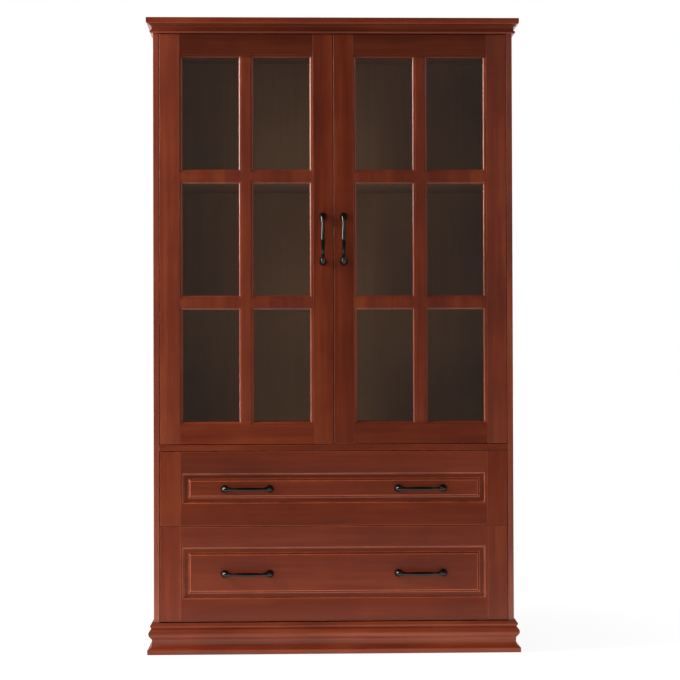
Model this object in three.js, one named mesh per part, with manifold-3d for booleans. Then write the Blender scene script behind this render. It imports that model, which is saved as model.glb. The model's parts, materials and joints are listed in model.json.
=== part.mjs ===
// A china cabinet: two glazed doors over two wide drawers, on a moulded plinth and under a moulded cornice.
// Millimetres. +X is the cabinet's right as one faces it, -Y is the front, +Z is up.
// The origin is on the floor, at the middle of the cabinet's overall box.
import * as THREE from 'three';
import { mergeVertices } from 'three/addons/utils/BufferGeometryUtils.js';
import Module from 'manifold-3d';

// ---------- driving dimensions ----------
const HEIGHT = 1795;
const BODY_WIDTH = 1018;
const BODY_DEPTH = 400;
const BOARD = 16; // carcass boards
const HANDLE_REACH = 28; // how far a handle stands out of a door or drawer front
const FIT = 0.3; // gap between fixed pieces that meet

const FRONT = -(BODY_DEPTH + HANDLE_REACH) / 2; // tip of the handles
const FACE = FRONT + HANDLE_REACH; // plane of the doors, the drawer fronts and the board edges
const BACK = FACE + BODY_DEPTH;
const SIDE_OUT = BODY_WIDTH / 2;
const SIDE_IN = SIDE_OUT - BOARD;

const PLINTH_TOP = 87.5;
const CORNICE_BOTTOM = 1752.5;
const CORNICE_BOARD_BOTTOM = 1777.5;
const MIDDLE_Z = 571.7; // underside of the board between the drawers and the doors
const MOULDING_INSET = 40; // how far the cornice mouldings reach in behind the body's face
const PLINTH_INSET = 30;
const PLINTH_BACK_THICKNESS = 18;

const PANEL = 5; // back panel
const RABBET = 8; // how far the back panel is let into the sides
const PANEL_INSET = 1; // between the back panel and the back edges of the sides

const FRONT_THICKNESS = 20; // doors and drawer fronts
const SIDE_GAP = 2; // beside a door or drawer front
const REAR_GAP = 2; // behind the doors and the lower drawer's front
const MEETING_GAP = 3; // between the doors
const STILE = 55.5;
const STICKING = 9.5; // width of the moulded edge round each pane
const STICKING_DEPTH = 7;
const QUIRK = 1.2; // the small square step between a face and its moulded edge
const STICKING_MARGIN = 0.5; // plain edge left between the mouldings and the stiles

const DOOR_BOTTOM = 590.3;
const DOOR_TOP = 1750.5;
const DOOR_OUT = SIDE_IN - SIDE_GAP;
const DOOR_IN = MEETING_GAP / 2;
const DOOR_WIDTH = DOOR_OUT - DOOR_IN;
const TOP_RAIL = 66.5;
const BOTTOM_RAIL = 62.7;
const UPRIGHT_MUNTIN = 42; // widths measured from glass to glass
const CROSS_MUNTIN = 40;
const GLASS = 4;
const GLASS_DEPTH = 10; // from the door's face to the glass
const GLASS_LAP = 5; // how far the rebate for the glass runs past the openings
const GLASS_PLAY = 1; // between the glass and the sides of its rebate

const SHELF_SETBACK = 34;
const DOOR_HANDLE_X = 29.5;
const DOOR_HANDLE_Z = 1169.5;
const HANDLE_SPACING = 128; // between the two screws of a handle
const HANDLE_FOOT = 11.2; // radii of a handle, at its feet, at its necks and in its middle
const HANDLE_NECK = 3.5;
const HANDLE_BELLY = 5.9;
const HANDLE_FLARE = 29; // how far a foot's flare reaches along the handle
const FOOT_EDGE = 1.3; // straight rim round a foot

const HINGE_FROM_END = 100;
const CUP_RADIUS = 17.5;
const CUP_DEPTH = 11.5;
const CUP_FROM_EDGE = 24;
const CUP_SHELL = 1.5; // thickness of the pressed steel
const CUP_FLANGE = 2;
const CUP_CLEARANCE = 0.5; // under the cup's floor
const CUP_EARS = 52; // height of the flange with its two screw ears
const EAR_INWARD = 12; // how far the ears reach from the cup's axis, in from the door's edge and out to it
const EAR_OUTWARD = 6;
const ARM_WIDTH = 14;
const ARM_DEPTH = 11; // how far a hinge's arm stands out from the side
const ARM_PLATE = 3;
const ARM_WINGS = 50; // height of the mounting plate
const ARM_SPAN = [5, 70]; // where the arm, its plate and the plate's wings start and end, behind the door
const PLATE_SPAN = [20, 78];
const PLATE_RIM = 2; // how far the plate shows on each side of the arm
const WING_SPAN = [32, 48];

const DRAWERS = [
  { name: 'lower', bottom: 90, top: 357, recess: 146, recessZ: 226.5, box: 190, handleZ: 224 },
  { name: 'upper', bottom: 359, top: 569.2, recess: 86, recessZ: 465, box: 140, handleZ: 463.5 },
];
const DRAWER_HANDLE_X = 245.5;
const RECESS_WIDTH = 857;
const RECESS_DEPTH = 6;
const RECESS_EDGE = 4; // width of the rounded edge round a recess
const FIELD_SLOPE = 6.5;
const CHANNEL = 15.5; // sunken band between a drawer front's frame and its raised field
const DRAWER_SIDE = 15;
const DRAWER_BACK = 12;
const DRAWER_BOX_DEPTH = 340;
const DRAWER_BOTTOM = 5;
const DRAWER_BOTTOM_RISE = 10;
const BOTTOM_GROOVE = 5; // how far a drawer's bottom is let into its sides
const RUNNER_REACH = 9;
const RUNNER_HEIGHT = 14;
const RUNNER_SLACK = 0.6;
const RUNNER_SETBACK = 2; // behind the drawer's front
const GROOVE_DEPTH = 8;

const OVERRUN = 5; // how far a cutter runs out of the wood that it cuts

// ---------- materials ----------
function finish(color, roughness, metalness = 0) {
  return new THREE.MeshStandardMaterial({ color, roughness, metalness });
}
const WOOD = finish(0x7a3520, 0.38);
const INSIDE_WOOD = finish(0x6b3a24, 0.5);
const DRAWER_WOOD = finish(0xb98a5c, 0.6);
const BLACK_METAL = finish(0x14110f, 0.35, 0.8);
const STEEL = finish(0xb4b6b8, 0.3, 1);
const GLASS_CLEAR = new THREE.MeshStandardMaterial({
  color: 0xdfe6e2, roughness: 0.04, metalness: 0, transparent: true, opacity: 0.25,
});

const cabinet = new THREE.Group();

function add(name, geometry, material) {
  const mesh = new THREE.Mesh(geometry, material);
  mesh.name = name;
  cabinet.add(mesh);
  return mesh;
}

// ---------- solids ----------
const wasm = await Module();
wasm.setup();

function toSolid(geometry) {
  const bare = geometry.clone();
  bare.deleteAttribute('normal');
  bare.deleteAttribute('uv');
  const merged = mergeVertices(bare, 1e-4);
  return new wasm.Manifold(new wasm.Mesh({
    numProp: 3,
    vertProperties: new Float32Array(merged.attributes.position.array),
    triVerts: new Uint32Array(merged.index.array),
  }));
}

function toGeometry(solid) {
  const mesh = solid.getMesh();
  const geometry = new THREE.BufferGeometry();
  geometry.setAttribute('position', new THREE.BufferAttribute(new Float32Array(mesh.vertProperties), 3));
  geometry.setIndex(new THREE.BufferAttribute(new Uint32Array(mesh.triVerts), 1));
  geometry.computeVertexNormals();
  return geometry;
}

function cut(geometry, ...cutters) {
  return toGeometry(cutters.reduce((solid, cutter) => solid.subtract(toSolid(cutter)), toSolid(geometry)));
}

function join(geometry, ...others) {
  return toGeometry(others.reduce((solid, other) => solid.add(toSolid(other)), toSolid(geometry)));
}

// A box from its two corners.
function block(x0, x1, y0, y1, z0, z1) {
  const box = new THREE.BoxGeometry(x1 - x0, y1 - y0, z1 - z0);
  return box.translate((x0 + x1) / 2, (y0 + y1) / 2, (z0 + z1) / 2);
}

function signedVolume(geometry) {
  const corner = [0, 1, 2].map(() => new THREE.Vector3());
  let sum = 0;
  for (let i = 0; i < geometry.index.count; i += 3) {
    corner.forEach((point, k) => {
      point.fromBufferAttribute(geometry.attributes.position, geometry.index.getX(i + k));
    });
    sum += corner[0].dot(corner[1].clone().cross(corner[2]));
  }
  return sum / 6;
}

// Moves each vertex by place(x, y, z), and turns the faces round where that mirrors the shape.
function reshape(geometry, place) {
  const shape = geometry.index ? geometry : mergeVertices(geometry, 1e-5);
  const spot = shape.attributes.position;
  for (let i = 0; i < spot.count; i += 1) {
    spot.setXYZ(i, ...place(spot.getX(i), spot.getY(i), spot.getZ(i)));
  }
  if (signedVolume(shape) < 0) shape.index.array.reverse();
  shape.computeVertexNormals();
  return shape;
}

const mirrorX = (geometry) => reshape(geometry, (x, y, z) => [-x, y, z]);
const onSide = (geometry, side) => (side === 'left' ? mirrorX(geometry) : geometry);

// A board whose section in XZ is the given outline, run along Y.
function runAlongY(points, y0, y1) {
  const shape = new THREE.Shape(points.map(([x, z]) => new THREE.Vector2(x, z)));
  const run = new THREE.ExtrudeGeometry(shape, { depth: y1 - y0, bevelEnabled: false });
  return run.rotateX(Math.PI / 2).translate(0, y1, 0);
}

// ---------- mouldings ----------
// A moulding's outline holds [out, z] points, where out is the distance in front of the body's face.
function arcPoints(from, to, bulge, steps = 8) {
  const [o0, z0] = from;
  const [o1, z1] = to;
  return Array.from({ length: steps - 1 }, (_, i) => {
    const t = (i + 1) / steps;
    const swell = bulge * Math.sin(Math.PI * t);
    const length = Math.hypot(o1 - o0, z1 - z0);
    return [
      o0 + (o1 - o0) * t + (swell * (z1 - z0)) / length,
      z0 + (z1 - z0) * t - (swell * (o1 - o0)) / length,
    ];
  });
}

function curved(...steps) {
  const points = [steps[0]];
  for (let i = 1; i < steps.length; i += 2) {
    const from = points[points.length - 1];
    const to = steps[i + 1];
    if (steps[i]) points.push(...arcPoints(from, to, steps[i]));
    points.push(to);
  }
  return points;
}

// Each curved() outline is point, bulge, point, bulge, point.
// A positive bulge swells out, and a negative one is a cove.
const PLINTH_OUTLINE = [
  ...curved([16.5, 0], 0, [17.5, 1], 0, [17.5, 13], 0, [16.5, 14], -4.5, [5.2, 33], 0, [5.2, 40],
    0, [6.2, 42.5], 8.6, [6.2, 72.5], 4, [6.2, 86]),
  [6.2, PLINTH_TOP],
];
const CORNICE_OUTLINE = [
  ...curved([4.4, CORNICE_BOTTOM], 4.8, [4.4, CORNICE_BOTTOM + 9], 0, [4.4, CORNICE_BOTTOM + 11],
    -3, [9.3, CORNICE_BOARD_BOTTOM - 3], 0, [11, CORNICE_BOARD_BOTTOM - 2]),
  [11, CORNICE_BOARD_BOTTOM - FIT],
];
const CORNICE_BOARD_OUTLINE = curved([11.8, CORNICE_BOARD_BOTTOM], 2, [18.5, CORNICE_BOARD_BOTTOM + 6],
  0, [18.5, HEIGHT - 1], 0, [17.5, HEIGHT]);

// A moulding along the front (mitred at both ends) or along one side (mitred at its front end).
function moulding(outline, inset, where) {
  const bottom = outline[0][1];
  const top = outline[outline.length - 1][1];
  const section = [[-inset, bottom], ...outline, [-inset, top]];
  const shape = new THREE.Shape(section.map(([out, z]) => new THREE.Vector2(out, z)));
  const run = new THREE.ExtrudeGeometry(shape, { depth: 1, bevelEnabled: false });
  if (where === 'front') {
    return reshape(run, (out, z, t) => [(2 * t - 1) * (SIDE_OUT + out - FIT / 2), FACE - out, z]);
  }
  const right = reshape(run, (out, z, t) => {
    const start = FACE - out + FIT / 2;
    return [SIDE_OUT + out, start + (BACK - start) * t, z];
  });
  return onSide(right, where);
}

// A board as deep as the body, moulded along its front and both ends.
function mouldedBoard(outline) {
  const z0 = outline[0][1];
  const z1 = outline[outline.length - 1][1];
  const right = outline.map(([out, z]) => [SIDE_OUT + out, z]);
  const left = [...right].reverse().map(([x, z]) => [-x, z]);
  const beyond = 60;
  const lengthwise = runAlongY([...right, ...left], FACE - beyond, BACK);
  const front = [...outline.map(([out, z]) => [-(FACE - out), z]), [-BACK, z1], [-BACK, z0]];
  const crosswise = runAlongY(front, -SIDE_OUT - beyond, SIDE_OUT + beyond).rotateZ(-Math.PI / 2);
  return toGeometry(toSolid(lengthwise).intersect(toSolid(crosswise)));
}

for (const where of ['front', 'left', 'right']) {
  add(`plinth_${where}`, moulding(PLINTH_OUTLINE, PLINTH_INSET, where), WOOD);
  add(`cornice_${where}`, moulding(CORNICE_OUTLINE, MOULDING_INSET, where), WOOD);
}
add('cornice_board', mouldedBoard(CORNICE_BOARD_OUTLINE), WOOD);
const plinthBackX = SIDE_OUT - PLINTH_INSET - FIT;
add('plinth_back', block(-plinthBackX, plinthBackX, BACK - PLINTH_BACK_THICKNESS, BACK, 0, PLINTH_TOP),
  INSIDE_WOOD);

// ---------- carcass ----------
const panelFront = BACK - PANEL - PANEL_INSET;
for (const side of ['left', 'right']) {
  const board = cut(
    block(SIDE_IN, SIDE_OUT, FACE, BACK, PLINTH_TOP + FIT, CORNICE_BOTTOM - FIT),
    block(SIDE_IN - OVERRUN, SIDE_IN + RABBET, panelFront - FIT, BACK + OVERRUN, 0, HEIGHT),
  );
  add(`side_${side}`, onSide(board, side), WOOD);
}
add('back_panel', block(-(SIDE_IN + RABBET - FIT), SIDE_IN + RABBET - FIT, panelFront, panelFront + PANEL,
  PLINTH_TOP + FIT, CORNICE_BOTTOM - FIT), INSIDE_WOOD);

function crossBoard(name, front, z0, material) {
  const reach = SIDE_IN - FIT;
  return add(name, block(-reach, reach, front, panelFront - FIT, z0, z0 + BOARD), material);
}
const behindFronts = FACE + FRONT_THICKNESS + REAR_GAP;
crossBoard('bottom_panel', behindFronts, PLINTH_TOP + FIT, INSIDE_WOOD);
crossBoard('middle_panel', FACE, MIDDLE_Z, WOOD);
crossBoard('top_panel', behindFronts, CORNICE_BOTTOM - BOARD - FIT, INSIDE_WOOD);

// ---------- doors ----------
// A door is laid out in its own plane, with s the distance from its outer edge and z the height.
const paneWidth = (DOOR_WIDTH - 2 * (STILE + STICKING) - UPRIGHT_MUNTIN) / 2;
const glassBottom = DOOR_BOTTOM + BOTTOM_RAIL;
const glassTop = DOOR_TOP - TOP_RAIL;
const paneHeight = (glassTop - glassBottom - 2 * CROSS_MUNTIN) / 3;
const paneColumns = [0, 1].map((column) => STILE + STICKING + column * (paneWidth + UPRIGHT_MUNTIN));
const paneRows = [0, 1, 2].map((row) => glassBottom + row * (paneHeight + CROSS_MUNTIN));

// A moulded edge as [flare, depth] points, from the face back: a square quirk, if any, and a quarter round.
function ovolo(width, depth, quirk = 0, steps = 4) {
  const radius = width - quirk;
  const round = Array.from({ length: steps + 1 }, (_, i) => {
    const angle = (Math.PI / 2) * (1 - i / steps);
    return [radius * (1 - Math.cos(angle)), depth - (depth - quirk) * Math.sin(angle)];
  });
  return quirk ? [[width, quirk], ...round] : round;
}

// The hollow of an opening with a moulded edge, straight from there back to `through`.
function mouldedOpening(x0, x1, z0, z1, edge, through) {
  const layers = [[edge[0][0], -OVERRUN], ...edge];
  if (through) layers.push([0, through]);
  const last = layers.length - 1;
  const stack = new THREE.BoxGeometry(2, 2, 2, 1, 1, last);
  return reshape(stack, (x, z, t) => {
    const [flare, depth] = layers[Math.round(((t + 1) / 2) * last)];
    return [
      (x0 + x1) / 2 + x * ((x1 - x0) / 2 + flare),
      FACE + depth,
      (z0 + z1) / 2 + z * ((z1 - z0) / 2 + flare),
    ];
  });
}

function doorPanes() {
  const edge = ovolo(STICKING - STICKING_MARGIN, STICKING_DEPTH, QUIRK);
  return paneColumns.flatMap((s) => paneRows.map((z) => mouldedOpening(DOOR_OUT - s - paneWidth, DOOR_OUT - s,
    z, z + paneHeight, edge, FRONT_THICKNESS + OVERRUN)));
}

// The rebate for the glass, open at the door's back, and the smaller sheet of glass in it.
const rebateEdge = STILE - GLASS_LAP;
const doorBack = FACE + FRONT_THICKNESS;
const glassPocket = block(DOOR_IN + rebateEdge, DOOR_OUT - rebateEdge, FACE + GLASS_DEPTH, doorBack + OVERRUN,
  glassBottom - GLASS_LAP, glassTop + GLASS_LAP);
const hingeHeights = [DOOR_BOTTOM + HINGE_FROM_END, DOOR_TOP - HINGE_FROM_END];

function cupBore(z) {
  const bore = new THREE.CylinderGeometry(CUP_RADIUS + FIT, CUP_RADIUS + FIT, CUP_DEPTH + FIT + OVERRUN, 24);
  return bore.translate(DOOR_OUT - CUP_FROM_EDGE, doorBack + (OVERRUN - CUP_DEPTH - FIT) / 2, z);
}

// A concealed hinge's cup with its flange, let into the back of the door.
function hingeCup(z) {
  const floor = CUP_CLEARANCE - CUP_DEPTH;
  const rim = CUP_RADIUS + CUP_FLANGE;
  const bore = CUP_RADIUS - CUP_SHELL;
  const outline = [[0, floor], [CUP_RADIUS, floor], [CUP_RADIUS, 0], [rim, FIT], [rim, CUP_SHELL],
    [bore, CUP_SHELL], [bore, floor + CUP_SHELL], [0, floor + CUP_SHELL]];
  const cup = new THREE.LatheGeometry(outline.map(([r, y]) => new THREE.Vector2(r, y)), 24);
  const mouth = new THREE.CylinderGeometry(bore + 1, bore + 1, 2 * OVERRUN, 24);
  const ears = cut(block(-EAR_INWARD, EAR_OUTWARD, FIT, CUP_SHELL, -CUP_EARS / 2, CUP_EARS / 2), mouth);
  return join(cup, ears).translate(DOOR_OUT - CUP_FROM_EDGE, doorBack, z);
}

// The hinge's arm on its mounting plate, screwed to the inside of the cabinet's side.
function hingeArm(z) {
  const wall = SIDE_IN - FIT;
  const bar = (depth, [start, end], height) => block(wall - depth, wall - FIT, doorBack + start, doorBack + end,
    z - height / 2, z + height / 2);
  return join(
    bar(ARM_PLATE, PLATE_SPAN, ARM_WIDTH + 2 * PLATE_RIM),
    bar(ARM_PLATE, WING_SPAN, ARM_WINGS),
    bar(ARM_DEPTH, ARM_SPAN, ARM_WIDTH),
  );
}

// ---------- handles ----------
// A cast bow handle in one sweep: each foot narrows into a slim neck, and the bar swells in its middle.
function bowHandle() {
  const half = HANDLE_SPACING / 2;
  const sections = 26;
  const sides = 10;
  const rise = HANDLE_REACH - FIT - HANDLE_BELLY;
  const power = 0.83; // below 1, the arch leaves its feet squarely and runs flatter in its middle
  const crowding = 0.4; // how much closer together the sections are near the feet
  const flarePower = 1.2; // how quickly a foot narrows into its neck
  const arch = (t) => {
    const angle = Math.PI * t - crowding * Math.sin(2 * Math.PI * t);
    const reach = Math.abs(Math.cos(angle)) ** power;
    return [-Math.sign(Math.cos(angle)) * half * reach, rise * Math.sin(angle) ** power];
  };
  const thickness = (along, out) => {
    const reach = Math.hypot(half - Math.abs(along), out);
    if (reach < FOOT_EDGE) return HANDLE_FOOT;
    const flare = Math.max(0, 1 - reach / HANDLE_FLARE) ** flarePower;
    const swell = Math.cos((Math.PI / 2) * (along / half)) ** 2;
    return HANDLE_NECK + (HANDLE_FOOT - HANDLE_NECK) * flare + (HANDLE_BELLY - HANDLE_NECK) * swell;
  };
  const circle = new THREE.Shape(Array.from({ length: sides }, (_, i) => {
    const angle = (2 * Math.PI * (i + 0.5)) / sides;
    return new THREE.Vector2(Math.cos(angle), Math.sin(angle));
  }));
  const rod = new THREE.ExtrudeGeometry(circle, { depth: 1, steps: sections, bevelEnabled: false });
  return reshape(rod, (across, up, t) => {
    const [along, out] = arch(Math.min(Math.max(t, 0), 1));
    const [alongBefore, outBefore] = arch(Math.max(t - 0.01, 0));
    const [alongAfter, outAfter] = arch(Math.min(t + 0.01, 1));
    const square = out < FOOT_EDGE ? Math.sign(0.5 - t) * (Math.PI / 2) : 0;
    const lean = square || Math.atan2(outAfter - outBefore, alongAfter - alongBefore);
    const radius = thickness(along, out);
    return [
      along - radius * up * Math.sin(lean),
      -(out + radius * up * Math.cos(lean)),
      radius * across,
    ];
  });
}

function placedHandle(x, z, upright) {
  const handle = bowHandle();
  if (upright) handle.rotateY(Math.PI / 2);
  return handle.translate(x, FACE - FIT, z);
}

for (const side of ['left', 'right']) {
  const door = `${side}_door`;
  const place = (name, geometry, material) => add(`${door}_${name}`, onSide(geometry, side), material);
  const innerStile = DOOR_IN + STILE;
  const outerStile = DOOR_OUT - STILE;
  place('hinge_stile', cut(block(outerStile, DOOR_OUT, FACE, doorBack, DOOR_BOTTOM, DOOR_TOP), glassPocket,
    ...hingeHeights.map(cupBore)), WOOD);
  place('meeting_stile', cut(block(DOOR_IN, innerStile, FACE, doorBack, DOOR_BOTTOM, DOOR_TOP), glassPocket),
    WOOD);
  const rail = (z0, z1) => cut(block(innerStile + FIT, outerStile - FIT, FACE, doorBack, z0, z1),
    glassPocket, ...doorPanes());
  place('top_rail', rail(glassTop + FIT / 2, DOOR_TOP), WOOD);
  place('bottom_rail', rail(DOOR_BOTTOM, glassBottom - FIT / 2), WOOD);
  place('muntin_grille', cut(block(innerStile + FIT, outerStile - FIT, FACE, FACE + GLASS_DEPTH - FIT,
    glassBottom + FIT / 2, glassTop - FIT / 2), ...doorPanes()), WOOD);
  const glassEdge = rebateEdge + GLASS_PLAY;
  const glassFront = FACE + GLASS_DEPTH + FIT;
  place('glass', block(DOOR_IN + glassEdge, DOOR_OUT - glassEdge, glassFront, glassFront + GLASS,
    glassBottom - GLASS_LAP + GLASS_PLAY, glassTop + GLASS_LAP - GLASS_PLAY), GLASS_CLEAR);
  place('handle', placedHandle(DOOR_HANDLE_X, DOOR_HANDLE_Z, true), BLACK_METAL);
  hingeHeights.forEach((z, i) => {
    const level = ['lower', 'upper'][i];
    place(`${level}_hinge_cup`, hingeCup(z), STEEL);
    add(`${side}_side_${level}_hinge_arm`, onSide(hingeArm(z), side), STEEL);
  });
}

// ---------- shelves, level with the doors' cross muntins ----------
paneRows.slice(1).forEach((z, i) => {
  const middle = z - CROSS_MUNTIN / 2;
  crossBoard(['lower_shelf', 'upper_shelf'][i], FACE + SHELF_SETBACK, middle - BOARD / 2, INSIDE_WOOD);
});

// ---------- drawers ----------
const drawerSideOut = SIDE_IN - SIDE_GAP;
const drawerSideIn = drawerSideOut - DRAWER_SIDE;
const drawerBoxFront = doorBack + FIT;
const drawerBoxBack = drawerBoxFront + DRAWER_BOX_DEPTH;

// The section of a drawer's right side, with the runner's groove outside and the bottom's groove inside.
function drawerSideOutline(z0, z1, grooveZ) {
  const grooveIn = drawerSideOut - GROOVE_DEPTH;
  const half = RUNNER_HEIGHT / 2 + RUNNER_SLACK;
  const bottomZ = z0 + DRAWER_BOTTOM_RISE;
  const bottomEdge = drawerSideIn + BOTTOM_GROOVE;
  return [
    [drawerSideIn, z0], [drawerSideOut, z0], [drawerSideOut, grooveZ - half], [grooveIn, grooveZ - half],
    [grooveIn, grooveZ + half], [drawerSideOut, grooveZ + half], [drawerSideOut, z1], [drawerSideIn, z1],
    [drawerSideIn, bottomZ + DRAWER_BOTTOM + FIT], [bottomEdge, bottomZ + DRAWER_BOTTOM + FIT],
    [bottomEdge, bottomZ - FIT], [drawerSideIn, bottomZ - FIT],
  ];
}

for (const drawer of DRAWERS) {
  const name = `${drawer.name}_drawer`;
  const { bottom, top } = drawer;
  const middle = (bottom + top) / 2;
  const boxBottom = middle - drawer.box / 2;
  const boxTop = middle + drawer.box / 2;
  const panelEdge = DOOR_OUT - STILE - FIT;

  const halfRecess = RECESS_WIDTH / 2;
  const { recessZ } = drawer;
  const halfHigh = drawer.recess / 2;
  const recess = mouldedOpening(-halfRecess + RECESS_EDGE, halfRecess - RECESS_EDGE,
    recessZ - halfHigh + RECESS_EDGE, recessZ + halfHigh - RECESS_EDGE, ovolo(RECESS_EDGE, RECESS_DEPTH));
  const fieldX = halfRecess - CHANNEL;
  const fieldZ = halfHigh - CHANNEL;
  const fieldBlock = block(-fieldX, fieldX, FACE, FACE + RECESS_DEPTH + 1, recessZ - fieldZ, recessZ + fieldZ);
  const field = reshape(fieldBlock, (x, y, z) => {
    const slope = y > FACE + 1 ? 0 : FIELD_SLOPE;
    return [x - Math.sign(x) * slope, y, z - Math.sign(z - recessZ) * slope];
  });
  const panel = cut(block(-panelEdge, panelEdge, FACE, doorBack, bottom, top), recess);
  add(`${name}_front_panel`, join(panel, field), WOOD);

  const boxSide = runAlongY(drawerSideOutline(boxBottom, boxTop, middle), drawerBoxFront, drawerBoxBack);
  const runner = block(SIDE_IN - RUNNER_REACH, SIDE_IN - FIT, drawerBoxFront + RUNNER_SETBACK, panelFront - FIT,
    middle - RUNNER_HEIGHT / 2, middle + RUNNER_HEIGHT / 2);
  for (const side of ['left', 'right']) {
    const stile = block(DOOR_OUT - STILE, DOOR_OUT, FACE, doorBack, bottom, top);
    add(`${name}_front_${side}_stile`, onSide(stile, side), WOOD);
    add(`${name}_${side}_side`, onSide(boxSide.clone(), side), DRAWER_WOOD);
    add(`${name}_${side}_runner`, onSide(runner.clone(), side), DRAWER_WOOD);
    const handle = placedHandle(DRAWER_HANDLE_X, drawer.handleZ, false);
    add(`${name}_${side}_handle`, onSide(handle, side), BLACK_METAL);
  }
  const bottomZ = boxBottom + DRAWER_BOTTOM_RISE;
  const inside = drawerSideIn - FIT;
  const bottomReach = inside + BOTTOM_GROOVE - FIT;
  add(`${name}_bottom`, block(-bottomReach, bottomReach, drawerBoxFront, drawerBoxBack, bottomZ,
    bottomZ + DRAWER_BOTTOM), DRAWER_WOOD);
  add(`${name}_back`, block(-inside, inside, drawerBoxBack - DRAWER_BACK, drawerBoxBack,
    bottomZ + DRAWER_BOTTOM + FIT, boxTop), DRAWER_WOOD);
}

export default cabinet;
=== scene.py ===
"""A china cabinet with glazed doors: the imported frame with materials, soft edges and small hardware."""
import json
import math

import bmesh
import bpy
from mathutils import Matrix, Vector


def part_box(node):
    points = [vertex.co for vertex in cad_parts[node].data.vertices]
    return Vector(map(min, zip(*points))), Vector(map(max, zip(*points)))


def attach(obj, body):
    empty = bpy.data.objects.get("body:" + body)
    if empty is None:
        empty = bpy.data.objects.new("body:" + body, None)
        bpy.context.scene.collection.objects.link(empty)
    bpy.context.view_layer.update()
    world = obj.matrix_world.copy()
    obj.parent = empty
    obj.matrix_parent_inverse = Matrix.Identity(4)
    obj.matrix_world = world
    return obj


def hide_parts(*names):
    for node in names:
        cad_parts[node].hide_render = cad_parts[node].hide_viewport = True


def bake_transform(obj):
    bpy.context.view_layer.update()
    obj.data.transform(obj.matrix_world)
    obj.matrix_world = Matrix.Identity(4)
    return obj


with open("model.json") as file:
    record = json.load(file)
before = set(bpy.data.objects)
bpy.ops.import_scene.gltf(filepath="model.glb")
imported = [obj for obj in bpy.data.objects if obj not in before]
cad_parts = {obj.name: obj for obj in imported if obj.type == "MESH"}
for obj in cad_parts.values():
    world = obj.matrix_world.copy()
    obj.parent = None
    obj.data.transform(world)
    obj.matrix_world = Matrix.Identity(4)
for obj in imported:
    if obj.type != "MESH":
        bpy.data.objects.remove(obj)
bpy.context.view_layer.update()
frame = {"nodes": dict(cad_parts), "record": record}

MM = 0.001
NODES = frame["nodes"]
SCENE = bpy.context.scene
BODIES = frame["record"]["behaviour"]["bodies"]
BODY_OF = {node: body for body, nodes in BODIES.items() for node in nodes}
SIDES = (("left", -1), ("right", 1))
DRAWERS = ("lower", "upper")


# ---------------------------------------------------------------- node helpers
class Shader:
    """A material's node tree, with short calls for the nodes that the surfaces here are made of."""

    def __init__(self, name):
        self.material = bpy.data.materials.new(name)
        self.material.use_nodes = True
        self.tree = self.material.node_tree
        self.tree.nodes.clear()

    def node(self, kind, inputs=None, **settings):
        made = self.tree.nodes.new(kind)
        for key, value in settings.items():
            setattr(made, key, value)
        for key, value in (inputs or {}).items():
            self.put(made.inputs[key], value)
        return made

    def put(self, socket, value):
        if isinstance(value, bpy.types.NodeSocket):
            self.tree.links.new(value, socket)
        else:
            socket.default_value = value

    def coords(self, stretch=(1, 1, 1), shift=(0, 0, 0)):
        place = self.node("ShaderNodeTexCoord").outputs["Object"]
        inputs = {"Vector": place, "Scale": stretch, "Location": shift}
        return self.node("ShaderNodeMapping", inputs).outputs[0]

    def noise(self, vector, scale, detail=3.0, roughness=0.5, distortion=0.0):
        return self.node("ShaderNodeTexNoise", {
            "Vector": vector, "Scale": scale, "Detail": detail, "Roughness": roughness,
            "Distortion": distortion,
        }).outputs["Fac"]

    def remap(self, value, low, high, to_low=0.0, to_high=1.0):
        return self.node("ShaderNodeMapRange", {
            "Value": value, "From Min": low, "From Max": high, "To Min": to_low, "To Max": to_high,
        }).outputs[0]

    def math(self, operation, a, b=0.0):
        return self.node("ShaderNodeMath", {0: a, 1: b}, operation=operation).outputs[0]

    def mix(self, factor, a, b, blend="MIX"):
        made = self.node("ShaderNodeMix", data_type="RGBA", blend_type=blend)
        for index, value in ((0, factor), (6, a), (7, b)):
            self.put(made.inputs[index], value)
        return made.outputs[2]

    def bump(self, height, distance, strength=1.0, normal=None):
        inputs = {"Height": height, "Distance": distance, "Strength": strength}
        if normal is not None:
            inputs["Normal"] = normal
        return self.node("ShaderNodeBump", inputs).outputs[0]

    def finish(self, shader):
        output = self.node("ShaderNodeOutputMaterial")
        self.tree.links.new(shader, output.inputs["Surface"])
        return self.material

    def principled(self, **inputs):
        made = self.node("ShaderNodeBsdfPrincipled")
        for key, value in inputs.items():
            self.put(made.inputs[key.replace("_", " ")], value)
        return self.finish(made.outputs[0])


def rgb(red, green, blue):
    """A linear RGBA colour from sRGB bytes."""
    def linear(byte):
        part = byte / 255
        return part / 12.92 if part <= 0.04045 else ((part + 0.055) / 1.055) ** 2.4
    return (linear(red), linear(green), linear(blue), 1.0)


def shade(colour, share):
    """A colour that is lighter or darker by a share."""
    return tuple(part * share for part in colour[:3]) + (1.0,)


# ---------------------------------------------------------------- materials
# How a noise is drawn out along the grain: the figure 20 times, and the fine fibres about 80 times.
ALONG = {"x": (0.05, 1, 1), "y": (1, 0.05, 1), "z": (1, 1, 0.05)}
LONG = {"x": (0.012, 1, 1), "y": (1, 0.012, 1), "z": (1, 1, 0.012)}
SATIN = 0.27  # specular level of the lacquer
EVEN_FIGURE = 0.585  # middle of the summed noises that make the figure
FIGURE_SPREAD = 0.135  # how far from that middle the stain reaches its darkest and lightest


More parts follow.
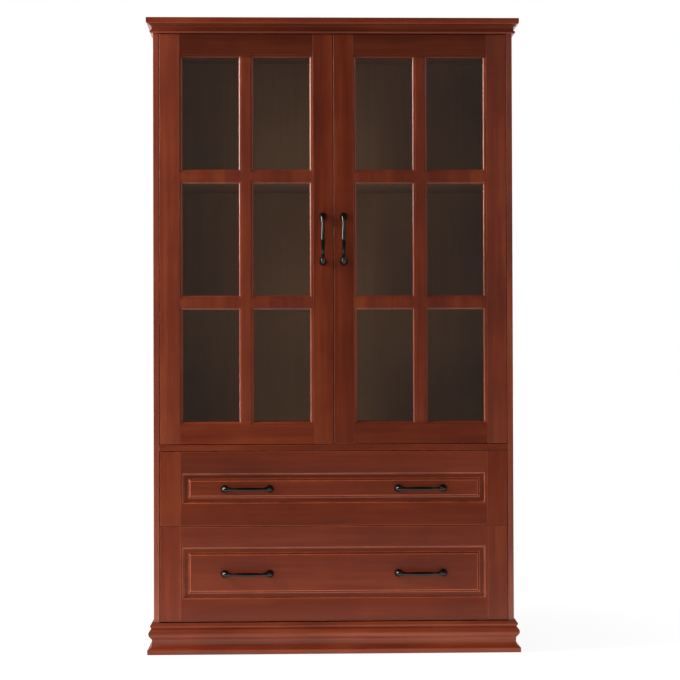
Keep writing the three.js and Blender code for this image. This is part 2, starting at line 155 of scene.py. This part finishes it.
def wood(name, grain, seed, light, middle, dark, roughness, tone=1.0, figure=1.0, gloss=SATIN):
    """Stained wood under a satin lacquer, with its grain along one axis.

    A tone below 1 is darker and above 1 lighter: for some boards that is their stain, for others painted
    light and shade. The figure is how lively the grain is, and the gloss is the lacquer's.
    """
    s = Shader(name)
    shift = (seed * 1.37, seed * 2.11, seed * 0.73)
    broad_place = s.coords(ALONG[grain], shift)
    fine_place = s.coords(LONG[grain], shift)
    even_place = s.coords((1, 1, 1), shift)
    light, middle, dark = (shade(colour, tone) for colour in (light, middle, dark))
    broad = s.noise(broad_place, 16, 4, 0.55, 0.6)
    streak = s.noise(broad_place, 75, 3, 0.6, 0.25)
    fine = s.noise(fine_place, 420, 3, 0.65)
    pores = s.remap(s.noise(fine_place, 700, 2, 0.6), 0.30, 0.45, 1.0, 0.0)
    cloud = s.noise(even_place, 4.5, 3, 0.55)
    figured = s.math("ADD", s.math("MULTIPLY", broad, 0.55), s.math("MULTIPLY", streak, 0.25))
    figured = s.math("ADD", figured, s.math("MULTIPLY", cloud, 0.35))
    spread = FIGURE_SPREAD / figure
    figured = s.remap(figured, EVEN_FIGURE - spread, EVEN_FIGURE + spread)
    colour = s.mix(s.remap(figured, 0.0, 0.55), dark, middle)
    colour = s.mix(s.remap(figured, 0.5, 1.0), colour, light)
    colour = s.mix(s.remap(fine, 0.35, 0.7, 0.22 * figure, 0.0), colour, dark)
    colour = s.mix(s.math("MULTIPLY", pores, 0.22 * figure), colour, shade(dark, 0.55))
    surface = s.remap(s.noise(even_place, 60, 3), 0.3, 0.7, roughness - 0.04, roughness + 0.05)
    peel = s.noise(even_place, 240, 2)
    bumped = s.bump(fine, 0.00005, 0.25, s.bump(peel, 0.00006, 0.10))
    return s.principled(Base_Color=colour, Roughness=surface, Normal=bumped,
                        Specular_IOR_Level=gloss)


def rubbed_highlight_wood(name, light, roughness):
    """The arrises of a stained board: the stain rubbed thinner, and a painted highlight, lighter than the
    light wood colour.
    """
    s = Shader(name)
    place = s.coords()
    worn = s.noise(place, 35, 4, 0.6)
    # Painted highlight: the arris is 1.05 to 1.6 times the light wood colour, patchy where the stain is
    # rubbed thinner.
    colour = s.mix(s.remap(worn, 0.35, 0.65), shade(light, 1.05), shade(light, 1.6))
    surface = s.remap(s.noise(place, 90, 2), 0.3, 0.7, roughness - 0.05, roughness + 0.03)
    bumped = s.bump(s.noise(place, 240, 2), 0.0001, 0.15)
    return s.principled(Base_Color=colour, Roughness=surface, Normal=bumped)


CHERRY = dict(
    light=rgb(134, 58, 27), middle=rgb(115, 43, 18), dark=rgb(92, 31, 11), roughness=0.34,
)
INSIDE = dict(
    light=rgb(214, 160, 110), middle=rgb(202, 147, 99), dark=rgb(184, 130, 85), roughness=0.5, figure=0.4,
)
PALE = dict(
    light=rgb(214, 177, 130), middle=rgb(193, 153, 106), dark=rgb(160, 118, 76), roughness=0.6,
)
FINISHES = {"stained_wood": CHERRY, "inside_wood": INSIDE, "drawer_wood": PALE}
# Boards take the stain lighter or darker than each other, and some tones are painted light and shade:
# the left door's hinge stile and the lower drawer front's left stile are lighter where the light from the
# left falls, the meeting stiles darker between the lights, and the sides lighter for a painted sheen.
# The top rails are much darker than the bottom rails, and the upper drawer's panel a little darker than the
# lower's.
TONE_AND_PAINTED_LIGHT = {
    "left_door_top_rail": 0.55,
    "right_door_top_rail": 0.58,
    # Painted light: the left door's hinge stile is lighter, where the light from the left falls.
    "left_door_hinge_stile": 1.1,
    # Painted shade: the meeting stiles are darker, in the middle between the lights.
    "left_door_meeting_stile": 0.9,
    "right_door_meeting_stile": 0.92,
    # Painted sheen: the sides are lighter.
    "side_left": 1.15,
    "side_right": 1.12,
    "upper_drawer_front_panel": 0.9,
    "lower_drawer_front_panel": 0.96,
    # Painted light: the lower drawer front's left stile is lighter, where the light from the left falls.
    "lower_drawer_front_left_stile": 1.15,
    "cornice_front": 0.85,
    "back_panel": 0.68,
    "upper_shelf": 0.6,
    "lower_shelf": 0.6,
    "top_panel": 0.6,
}
GLOSS = {
    "left_door_hinge_stile": 0.48,
    "right_door_hinge_stile": 0.48,
    "left_door_muntin_grille": 0.45,
    "right_door_muntin_grille": 0.40,
}
PANEL_FIGURE = 0.65
# Edge band tones: partly painted sheen, lighter on the left, where the light falls.
EDGE_BAND_TONES_AND_SHEEN = {"left": 1.3, "right": 1.2}
EDGE_BAND_GLOSS = 0.75
# Lighter rounded edges: a painted highlight, with the stain rubbed thinner.
ARRIS_HIGHLIGHT = rubbed_highlight_wood("rubbed_cherry_highlight", CHERRY["light"], 0.40)


def black_metal():
    s = Shader("satin_black_metal")
    place = s.coords()
    worn = s.noise(place, 300, 4, 0.6)
    edge = s.node("ShaderNodeNewGeometry").outputs["Pointiness"]
    rub = s.math("MULTIPLY", s.remap(edge, 0.52, 0.60), s.remap(worn, 0.45, 0.65))
    black = s.mix(s.remap(worn, 0.3, 0.7), (0.005, 0.005, 0.005, 1), (0.011, 0.010, 0.009, 1))
    colour = s.mix(s.math("MULTIPLY", rub, 0.25), black, (0.06, 0.045, 0.035, 1))
    rough = s.remap(s.noise(place, 500, 3), 0.3, 0.7, 0.16, 0.26)
    return s.principled(Base_Color=colour, Metallic=0.95, Roughness=rough, Coat_Weight=0.5,
                        Coat_Roughness=0.06, Normal=s.bump(worn, 0.00006, 0.3))


def nickel():
    s = Shader("nickel_plate")
    place = s.coords()
    brushed = s.noise(s.coords((1, 0.04, 1)), 900, 3)
    colour = s.mix(s.noise(place, 40, 3), (0.55, 0.54, 0.52, 1), (0.70, 0.69, 0.67, 1))
    rough = s.remap(brushed, 0.3, 0.7, 0.22, 0.36)
    return s.principled(Base_Color=colour, Metallic=1.0, Roughness=rough,
                        Normal=s.bump(brushed, 0.00003, 0.4))


def pane_glass():
    """Clear sheet glass: what is behind shows through, and the face that light enters reflects for both."""
    s = Shader("sheet_glass")
    haze = s.noise(s.coords(), 7, 3)
    tint = s.mix(haze, (0.95, 0.96, 0.95, 1), (0.97, 0.98, 0.97, 1))
    through = s.node("ShaderNodeBsdfTransparent", {"Color": tint}).outputs[0]
    ripple = s.bump(s.noise(s.coords(), 5, 2), 0.0004, 0.05)
    rough = s.remap(haze, 0.3, 0.7, 0.03, 0.07)
    surface = {"Color": (1, 1, 1, 1), "Roughness": rough, "Normal": ripple}
    gloss = s.node("ShaderNodeBsdfGlossy", surface).outputs[0]
    angle = s.node("ShaderNodeFresnel", {"IOR": 1.5}).outputs[0]
    leaving = s.node("ShaderNodeNewGeometry").outputs["Backfacing"]
    both_faces = s.math("MULTIPLY", angle, 2.0)
    mirror = s.math("MULTIPLY", both_faces, s.math("SUBTRACT", 1.0, leaving))
    mixed = s.node("ShaderNodeMixShader", {0: mirror, 1: through, 2: gloss}).outputs[0]
    return s.finish(mixed)


METAL = black_metal()
NICKEL = nickel()
GLASS = pane_glass()


# ---------------------------------------------------------------- mesh helpers
def paint(piece, material):
    piece.data.materials.clear()
    piece.data.materials.append(material)


def smooth(mesh):
    for face in mesh.polygons:
        face.use_smooth = True
    for name in ("custom_normal", "sharp_edge", "sharp_face"):
        if name in mesh.attributes:
            mesh.attributes.remove(mesh.attributes[name])


HARD_EDGE = math.radians(28)
CREASE = math.radians(35)


def soften(piece, width, arris=None):
    """Rounds a piece's hard edges: its flat faces are made whole, then each arris gets a small radius."""
    smooth(piece.data)
    weld = piece.modifiers.new("weld", "WELD")
    weld.merge_threshold = 0.02 * MM
    flat = piece.modifiers.new("flat", "DECIMATE")
    flat.decimate_type = "DISSOLVE"
    flat.angle_limit = math.radians(0.5)
    flat.use_dissolve_boundaries = False
    bevel = piece.modifiers.new("arris", "BEVEL")
    bevel.width = width
    bevel.segments = 2
    bevel.limit_method = "ANGLE"
    bevel.angle_limit = HARD_EDGE
    bevel.harden_normals = True
    bevel.use_clamp_overlap = True
    # The arris material paints the rounded faces lighter: a painted highlight along the edges, with the
    # stain rubbed thinner.
    if arris:
        piece.data.materials.append(arris)
        bevel.material = 1


def shaded_mesh(name, bm, material):
    """A mesh with every face turned out and shaded smooth, apart from its sharp edges."""
    bmesh.ops.recalc_face_normals(bm, faces=bm.faces)
    for face in bm.faces:
        face.smooth = True
    for edge in bm.edges:
        edge.smooth = len(edge.link_faces) == 2 and edge.calc_face_angle() < CREASE
    mesh = bpy.data.meshes.new(name)
    bm.to_mesh(mesh)
    bm.free()
    mesh.materials.append(material)
    return mesh


def linked(name, data):
    made = bpy.data.objects.new(name, data)
    SCENE.collection.objects.link(made)
    return made


def new_piece(name, bm, material, body):
    piece = linked(name, shaded_mesh(name, bm, material))
    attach(piece, body)
    return piece


def add_box(bm, low, high):
    made = bmesh.ops.create_cube(bm, size=1)
    size = Vector(high) - Vector(low)
    middle = (Vector(high) + Vector(low)) / 2
    for vert in made["verts"]:
        vert.co = Vector(c * s for c, s in zip(vert.co, size)) + middle


def add_lathe(bm, outline, matrix, sides=24):
    """Turns (radius, height) points round the axis of matrix. The outline starts and ends on the axis."""
    rings = []
    for radius, height in outline:
        if radius < 1e-9:
            rings.append([bm.verts.new(matrix @ Vector((0, 0, height)))])
            continue
        turns = (2 * math.pi * i / sides for i in range(sides))
        circle = (Vector((radius * math.cos(a), radius * math.sin(a), height)) for a in turns)
        rings.append([bm.verts.new(matrix @ spot) for spot in circle])
    for low, high in zip(rings, rings[1:]):
        for i in range(sides):
            j = (i + 1) % sides
            if len(low) == 1:
                bm.faces.new((low[0], high[j], high[i]))
            elif len(high) == 1:
                bm.faces.new((low[i], low[j], high[0]))
            else:
                bm.faces.new((low[i], low[j], high[j], high[i]))


# ---------------------------------------------------------------- wooden boards
GRAIN = {
    "back_panel": "z",
    "left_door_muntin_grille": "z",
    "right_door_muntin_grille": "z",
    "upper_drawer_bottom": "x",
    "lower_drawer_bottom": "x",
}
MOULDED_ARRIS = 0.35 * MM
CRISP_ARRIS = 0.6 * MM
PLAIN_ARRIS = 0.8 * MM
# The front panels' and grilles' wide bevels take the arris material's painted highlight.
RUBBED_HIGHLIGHT_ARRIS = 1.3 * MM
STEEL_ARRIS = 0.5 * MM


def grain_of(node):
    """The grain of a board runs along its longest side, unless GRAIN says otherwise."""
    low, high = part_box(node)
    size = high - low
    return GRAIN.get(node, "xyz"[max(range(3), key=lambda i: size[i])])


def finish_board(seed, node, finish):
    look = dict(FINISHES[finish], tone=TONE_AND_PAINTED_LIGHT.get(node, 1.0), gloss=GLOSS.get(node, SATIN))
    if node.endswith("front_panel"):
        look["figure"] = PANEL_FIGURE
    paint(NODES[node], wood(f"{node}_wood", grain_of(node), seed, **look))
    if node.startswith(("plinth", "cornice")) and node != "plinth_back":
        soften(NODES[node], MOULDED_ARRIS)
    elif node.endswith(("front_panel", "grille")):
        soften(NODES[node], RUBBED_HIGHLIGHT_ARRIS, ARRIS_HIGHLIGHT)
    elif finish == "stained_wood":
        soften(NODES[node], CRISP_ARRIS, ARRIS_HIGHLIGHT)
    else:
        soften(NODES[node], PLAIN_ARRIS)


def edge_band(side):
    """The front edge of a carcass side carries a glossier edge band, stained lighter; its lighter tone is
    also a painted sheen, lighter on the left, where the light falls.
    """
    mesh = NODES[f"side_{side}"].data
    band = wood(f"{side}_edge_band", "z", 83, tone=EDGE_BAND_TONES_AND_SHEEN[side], gloss=EDGE_BAND_GLOSS, **CHERRY)
    mesh.materials.append(band)
    for face in mesh.polygons:
        if face.normal.y < -0.9:
            face.material_index = len(mesh.materials) - 1


for seed, subpart in enumerate(frame["record"]["subparts"]):
    if subpart["material_slot"] in FINISHES:
        finish_board(seed, subpart["node"], subpart["material_slot"])
for side, _ in SIDES:
    edge_band(side)

# ---------------------------------------------------------------- hinges and glass
for node, piece in NODES.items():
    if "hinge_cup" in node or "hinge_arm" in node:
        paint(piece, NICKEL)
        soften(piece, STEEL_ARRIS)
    elif node.endswith("door_glass"):
        paint(piece, GLASS)


# ---------------------------------------------------------------- handles
FOOT, NECK, BELLY = 11.2 * MM, 3.5 * MM, 5.9 * MM  # radii
FOOT_EDGE = 1.3 * MM  # straight rim round a foot
FLARE = 29 * MM  # how far a foot's flare reaches along the handle
FLARE_POWER = 1.2
ARCH_POWER = 0.83  # below 1, the arch is squarer than half an ellipse
CROWDING = 0.4  # how much closer together the rings are near the feet


def bow_handle(name, node):
    """A cast bow handle in one sweep: a foot narrows into a slim neck, and the bar swells in its middle."""
    low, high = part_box(node)
    size = high - low
    upright = size.z > size.x
    half = max(size.x, size.z) / 2 - FOOT
    rise = size.y - BELLY
    centre = Vector(((low.x + high.x) / 2, high.y, (low.z + high.z) / 2))
    turn = Matrix.Rotation(math.radians(90), 4, "Y") if upright else Matrix.Identity(4)
    place = Matrix.Translation(centre) @ turn

    def arch(t):
        t = min(max(t, 0.0), 1.0)
        angle = min(max(math.pi * t - CROWDING * math.sin(2 * math.pi * t), 0.0), math.pi)
        along = -math.copysign(half * abs(math.cos(angle)) ** ARCH_POWER, math.cos(angle))
        return along, rise * abs(math.sin(angle)) ** ARCH_POWER

    def thickness(along, out):
        reach = math.hypot(half - abs(along), out)
        if reach < FOOT_EDGE:
            return FOOT
        flare = max(0.0, 1 - reach / FLARE) ** FLARE_POWER
        swell = math.cos(math.pi / 2 * along / half) ** 2
        return NECK + (FOOT - NECK) * flare + (BELLY - NECK) * swell

    bm = bmesh.new()
    steps, sides = 72, 28
    rings = []
    for i in range(steps + 1):
        t = i / steps
        along, out = arch(t)
        before, after = arch(t - 0.008), arch(t + 0.008)
        lean = math.atan2(after[1] - before[1], after[0] - before[0])
        if out < FOOT_EDGE:
            lean = math.copysign(math.pi / 2, 0.5 - t)
        radius = thickness(along, out)
        ring = []
        for k in range(sides):
            angle = 2 * math.pi * k / sides
            across, up = radius * math.cos(angle), radius * math.sin(angle)
            spot = Vector((along - up * math.sin(lean), -(out + up * math.cos(lean)), across))
            ring.append(bm.verts.new(place @ spot))
        rings.append(ring)
    for a, b in zip(rings, rings[1:]):
        for k in range(sides):
            m = (k + 1) % sides
            bm.faces.new((a[k], a[m], b[m], b[k]))
    bm.faces.new(rings[0])
    bm.faces.new(rings[-1])
    piece = new_piece(name, bm, METAL, BODY_OF[node])
    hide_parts(node)


HANDLES = [node for node in NODES if node.endswith("_handle")]
for node in HANDLES:
    bow_handle(f"{node}_cast", node)


# ---------------------------------------------------------------- small hardware
# Outlines are (radius, height) points: shares of the radius for the screw head, millimetres for the others.
SCREW_HEAD = [(0, 0), (1, 0), (1, 0.25), (0.9, 0.48), (0.62, 0.62), (0.34, 0.66), (0.30, 0.30), (0, 0.28)]
SHELF_PIN = [(0, 0), (4.5, 0), (4.5, 1.2), (2.4, 1.4), (2.4, 9), (1.8, 9.6), (0, 9.6)]
FLUSH_SCREW = [(0, 0), (3.4, 0), (3.4, 0.25), (2.9, 0.4), (1.2, 0.4), (1.0, 0.1), (0, 0.1)]
NAIL_HEAD = [(0, 0), (1.8, 0), (1.7, 0.3), (1.0, 0.5), (0, 0.55)]
CUP_SCREW_REACH = 22.5 * MM  # from a cup's middle, up and down
CUP_SCREW_INWARD = 3 * MM
WING_SCREW_REACH = 19 * MM  # from an arm's middle, up and down
WING_SCREW_DEPTH = 35 * MM  # behind an arm's front end
ARM_SCREW_DEPTHS = (28 * MM, 52 * MM)
ARM_PLATE = 3 * MM  # thickness of an arm's mounting plate
FRONT_THICKNESS = 20 * MM  # doors and drawer fronts
FIT = 0.3 * MM  # gap between fixed pieces


def scaled(outline, size):
    return [(radius * size, height * size) for radius, height in outline]


def turned(name, outline, places, body, sides=20):
    """One piece of equal turned steel shapes: each place is a point and the way that the shape faces."""
    bm = bmesh.new()
    for point, facing in places:
        upright = Vector(facing).to_track_quat("Z", "Y").to_matrix().to_4x4()
        add_lathe(bm, outline, Matrix.Translation(point) @ upright, sides)
    new_piece(name, bm, NICKEL, body)


def screws(name, radius, places, body):
    turned(name, scaled(SCREW_HEAD, radius), places, body)


def add_ring(bm, x0, x1, z0, z1, section):
    """A mitred frame in a rectangle. A section point is its distance in from the rectangle, and its y."""
    rings = []
    for sx, sz in ((-1, -1), (1, -1), (1, 1), (-1, 1)):
        corner = Vector((x1 if sx > 0 else x0, 0, z1 if sz > 0 else z0))
        spots = (corner + Vector((-sx * inward, y, -sz * inward)) for inward, y in section)
        rings.append([bm.verts.new(spot) for spot in spots])
    for a, b in zip(rings, rings[1:] + rings[:1]):
        for i in range(len(section)):
            j = (i + 1) % len(section)
            bm.faces.new((a[i], a[j], b[j], b[i]))


def glazing_bead(side):
    """A quarter-round wooden bead that holds a door's glass in its rebate."""
    low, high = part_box(f"{side}_door_glass")
    door_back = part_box(f"{side}_door_hinge_stile")[1].y
    front = high.y + 0.2 * MM
    width = 7 * MM
    steps = 5
    section = [(0, front), (width, front)]
    for step in range(1, steps + 1):
        angle = math.pi / 2 * step / steps
        section.append((width * math.cos(angle), front + (door_back - front) * math.sin(angle)))
    bm = bmesh.new()
    add_ring(bm, low.x, high.x, low.z, high.z, section)
    bead = wood(f"{side}_bead_wood", "z", 71, **CHERRY)
    new_piece(f"{side}_door_glazing_bead", bm, bead, f"{side}_door")


def meeting_seal_and_gap_shade():
    """A black seal in the gap between the doors, on the left door's edge; its black is also painted shade,
    to make the gap dark.
    """
    low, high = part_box("left_door_meeting_stile")
    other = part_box("right_door_meeting_stile")[0]
    play, front, back = 0.6 * MM, low.y + 3 * MM, low.y + 10 * MM
    bm = bmesh.new()
    add_box(bm, (high.x, front, low.z), (other.x - play, back, high.z))
    # The seal's black stands in for the shade in the gap between the doors.
    s = Shader("black_seal_and_gap_shade")
    felt = s.noise(s.coords(), 900, 3)
    colour = s.mix(felt, (0.004, 0.003, 0.003, 1), (0.012, 0.010, 0.009, 1))
    black = s.principled(Base_Color=colour, Roughness=0.9, Normal=s.bump(felt, 0.0002, 0.5))
    new_piece("left_door_meeting_seal", bm, black, "left_door")


def shelf_pins():
    drop = 2.6 * MM
    places = []
    for shelf in ("lower_shelf", "upper_shelf"):
        low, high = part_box(shelf)
        for x, facing in ((low.x, 1), (high.x, -1)):
            for y in (low.y + 50 * MM, high.y - 60 * MM):
                places.append(((x, y, low.z - drop), (facing, 0, 0)))
    turned("shelf_pins", scaled(SHELF_PIN, MM), places, "carcass")


def hinge_screws():
    for side, sign in SIDES:
        cup_places, arm_places = [], []
        for level in ("lower", "upper"):
            low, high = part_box(f"{side}_door_{level}_hinge_cup")
            middle = (low + high) / 2
            x = middle.x - sign * CUP_SCREW_INWARD
            for step in (-1, 1):
                cup_places.append(((x, high.y, middle.z + step * CUP_SCREW_REACH), (0, 1, 0)))
            low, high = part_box(f"{side}_side_{level}_hinge_arm")
            middle = (low + high) / 2
            inner, outer = (low.x, high.x) if sign > 0 else (high.x, low.x)
            x = outer - sign * ARM_PLATE
            for step in (-1, 1):
                spot = (x, low.y + WING_SCREW_DEPTH, middle.z + step * WING_SCREW_REACH)
                arm_places.append((spot, (-sign, 0, 0)))
            for depth in ARM_SCREW_DEPTHS:
                arm_places.append(((inner, low.y + depth, middle.z), (-sign, 0, 0)))
        screws(f"{side}_door_hinge_screws", 3.6 * MM, cup_places, f"{side}_door")
        screws(f"{side}_side_hinge_screws", 3.4 * MM, arm_places, "carcass")


def handle_screws():
    """The machine screws' heads, on the inner face of each door and drawer front."""
    for body in sorted({BODY_OF[node] for node in HANDLES}):
        places = []
        for node in (n for n in HANDLES if BODY_OF[n] == body):
            low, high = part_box(node)
            middle = (low + high) / 2
            half = max(high - low) / 2 - FOOT
            upright = high.z - low.z > high.x - low.x
            along = Vector((0, 0, half)) if upright else Vector((half, 0, 0))
            back = high.y + FIT + FRONT_THICKNESS
            for step in (-1, 1):
                places.append((Vector((middle.x, back, middle.z)) + step * along, (0, 1, 0)))
        screws(f"{body}_handle_screws", 4.2 * MM, places, body)


def runner_screws():
    from_end = 40 * MM
    places = []
    for drawer in DRAWERS:
        for side, sign in SIDES:
            low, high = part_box(f"{drawer}_drawer_{side}_runner")
            inner = low.x if sign > 0 else high.x
            for y in (low.y + from_end, (low.y + high.y) / 2, high.y - from_end):
                places.append(((inner, y, (low.z + high.z) / 2), (-sign, 0, 0)))
    turned("runner_screws", scaled(FLUSH_SCREW, MM), places, "carcass")


def back_panel_nails():
    low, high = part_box("back_panel")
    from_edge, from_end, gaps = 4 * MM, 30 * MM, 13
    spots = []
    for x in (low.x + from_edge, high.x - from_edge):
        step = (high.z - low.z - 2 * from_end) / gaps
        spots += [(x, low.z + from_end + i * step) for i in range(gaps + 1)]
    for board in ("bottom_panel", "middle_panel", "top_panel"):
        board_low, board_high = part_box(board)
        z = (board_low.z + board_high.z) / 2
        spots += [(low.x + (high.x - low.x) * i / 8, z) for i in range(1, 8)]
    places = [((x, high.y, z), (0, 1, 0)) for x, z in spots]
    turned("back_panel_nails", scaled(NAIL_HEAD, MM), places, "carcass", 12)


def hinge_link(side, sign, level):
    """The pressed link between a hinge's cup and its arm, made where it sits with the door shut; it is
    attached to no body, so it does not swing out as the door opens.
    """
    cup_low, cup_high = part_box(f"{side}_door_{level}_hinge_cup")
    arm_low, arm_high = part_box(f"{side}_side_{level}_hinge_arm")
    cup = (cup_low + cup_high) / 2
    in_cup, off_side, in_arm = 7 * MM, 7 * MM, 12 * MM
    arm_x = (arm_high.x if sign > 0 else arm_low.x) - sign * off_side
    start = Vector((cup.x, cup_high.y - in_cup, cup.z))
    end = Vector((arm_x, arm_low.y + in_arm, cup.z))
    bend = Vector((cup.x + sign * 2 * MM, arm_low.y + 3 * MM, cup.z))
    width, thick, steps = 9 * MM, 1.6 * MM, 28
    bm = bmesh.new()
    rings = []
    for i in range(steps + 1):
        t = i / steps
        spot = start * (1 - t) ** 2 + bend * 2 * t * (1 - t) + end * t ** 2
        ahead = ((bend - start) * (1 - t) + (end - bend) * t).normalized()
        across = Vector((-ahead.y, ahead.x, 0)) * thick / 2
        up = Vector((0, 0, width / 2))
        corners = ((-1, -1), (1, -1), (1, 1), (-1, 1))
        rings.append([bm.verts.new(spot + a * across + b * up) for a, b in corners])
    for a, b in zip(rings, rings[1:]):
        for k in range(4):
            m = (k + 1) % 4
            bm.faces.new((a[k], a[m], b[m], b[k]))
    bm.faces.new(rings[0])
    bm.faces.new(rings[-1])
    name = f"{side}_{level}_hinge_link"
    piece = linked(name, shaded_mesh(name, bm, NICKEL))
    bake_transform(piece)


for side, sign in SIDES:
    glazing_bead(side)
    for level in ("lower", "upper"):
        hinge_link(side, sign, level)
meeting_seal_and_gap_shade()
shelf_pins()
hinge_screws()
handle_screws()
runner_screws()
back_panel_nails()


# ---------------------------------------------------------------- camera, light and floor
CAMERA_PLACE = (-0.110, -4.8, 0.8368)
CAMERA_TURN = (1.588, 0.581, -0.168)  # yaw, pitch and roll in degrees
CAMERA_LENS = 86.32

# Soft boxes: name, place, target, width, height, watts and colour.
SOFTBOXES = (
    ("left_box", (-2.2, -0.56, 2.0), (0, -0.1, 1.5), 0.7, 1.4, 98, (1, 0.97, 0.92)),
    ("front_box", (-2.4, -3.6, 3.2), (0, 0, 0.9), 1.4, 1.2, 10, (1, 1, 1)),
    ("low_left_box", (-2.0, -0.30, 0.45), (0, -0.2, 0.40), 0.45, 0.6, 18, (1, 1, 1)),
    ("right_fill", (1.9, -1.9, 1.9), (0, 0, 1.1), 0.8, 1.4, 10, (1, 1, 1)),
)
WORLD_CAST = 0.15  # how much light the world casts, although the camera sees it white
FLOOR_SEEN = 1.07  # how brightly the camera sees the floor glow
FLOOR_CAST_FAR, FLOOR_CAST_NEAR = 1.0, 2.15  # the light that the floor casts, by how far in front it is


def camera():
    data = bpy.data.cameras.new("camera")
    data.sensor_width = 36
    data.lens = CAMERA_LENS
    made = linked("camera", data)
    yaw, pitch, roll = (math.radians(v) for v in CAMERA_TURN)
    made.location = CAMERA_PLACE
    made.rotation_euler = (Matrix.Rotation(-yaw, 3, "Z") @ Matrix.Rotation(math.pi / 2 + pitch, 3, "X")
                           @ Matrix.Rotation(roll, 3, "Z")).to_euler()
    SCENE.camera = made


def softbox(name, place, target, width, height, watts, colour):
    data = bpy.data.lights.new(name, "AREA")
    data.shape = "RECTANGLE"
    data.size = width
    data.size_y = height
    data.energy = watts
    data.color = colour
    made = linked(name, data)
    made.location = place
    made.rotation_euler = (Vector(target) - Vector(place)).to_track_quat("-Z", "Y").to_euler()


def inner_strips():
    """Faint strip lights behind the meeting stiles, one between each pair of boards, for the back panel."""
    x, y, back_y = 0.06, -0.160, 0.2
    width, watts, colour = 0.03, 0.052, (1, 0.90, 0.85)
    levels = [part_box(board) for board in ("middle_panel", "lower_shelf", "upper_shelf", "top_panel")]
    for (_, below), (above, _) in zip(levels, levels[1:]):
        z = (below.z + above.z) / 2
        tall = 0.55 * (above.z - below.z)
        softbox("inner_strip", (x, y, z), (x, back_y, z), width, tall, watts, colour)


def white_world():
    world = bpy.data.worlds.new("studio")
    SCENE.world = world
    world.use_nodes = True
    tree = world.node_tree
    tree.nodes.clear()
    seen = tree.nodes.new("ShaderNodeBackground")
    seen.inputs["Color"].default_value = (1, 1, 1, 1)
    seen.inputs["Strength"].default_value = 1.0
    cast = tree.nodes.new("ShaderNodeBackground")
    cast.inputs["Color"].default_value = (1, 0.99, 0.97, 1)
    cast.inputs["Strength"].default_value = WORLD_CAST
    path = tree.nodes.new("ShaderNodeLightPath")
    mix = tree.nodes.new("ShaderNodeMixShader")
    out = tree.nodes.new("ShaderNodeOutputWorld")
    tree.links.new(path.outputs["Is Camera Ray"], mix.inputs[0])
    tree.links.new(cast.outputs[0], mix.inputs[1])
    tree.links.new(seen.outputs[0], mix.inputs[2])
    tree.links.new(mix.outputs[0], out.inputs["Surface"])


def floor_material():
    """A white floor that glows. Near the cabinet it is partly matt, to take a shadow.

    The glow that the camera sees is even. The light that the floor casts on the cabinet is strongest beside
    it and behind it, is weaker in front, and ends well in front, where the floor is matt to every other ray.
    """
    s = Shader("studio_floor")
    place = s.node("ShaderNodeTexCoord").outputs["Object"]
    distance = s.node("ShaderNodeVectorMath", {0: place}, operation="LENGTH").outputs["Value"]
    depth = s.node("ShaderNodeSeparateXYZ", {0: place}).outputs["Y"]
    seen = s.node("ShaderNodeLightPath").outputs["Is Camera Ray"]
    glowing = s.remap(distance, 0.4, 2.0, 0.85, 1.0)
    casting = s.math("MULTIPLY", glowing, s.remap(depth, -2.3, -1.6))
    share = s.math("MAXIMUM", casting, s.math("MULTIPLY", glowing, seen))
    matt = s.node("ShaderNodeBsdfDiffuse", {"Color": (0.9, 0.9, 0.9, 1)}).outputs[0]
    cast = s.remap(depth, -0.85, -0.35, FLOOR_CAST_FAR, FLOOR_CAST_NEAR)
    strength = s.math("ADD", s.math("MULTIPLY", seen, FLOOR_SEEN),
                      s.math("MULTIPLY", cast, s.math("SUBTRACT", 1.0, seen)))
    glow = s.node("ShaderNodeEmission", {"Color": (1, 1, 1, 1), "Strength": strength}).outputs[0]
    return s.finish(s.node("ShaderNodeMixShader", {0: share, 1: matt, 2: glow}).outputs[0])


def studio_floor():
    bm = bmesh.new()
    bmesh.ops.create_grid(bm, x_segments=1, y_segments=1, size=30)
    mesh = bpy.data.meshes.new("floor")
    bm.to_mesh(mesh)
    bm.free()
    mesh.materials.append(floor_material())
    floor = linked("floor", mesh)
    floor.location.z = -0.5 * MM


camera()
white_world()
studio_floor()
for box in SOFTBOXES:
    softbox(*box)
inner_strips()
SCENE.view_settings.view_transform = "Standard"
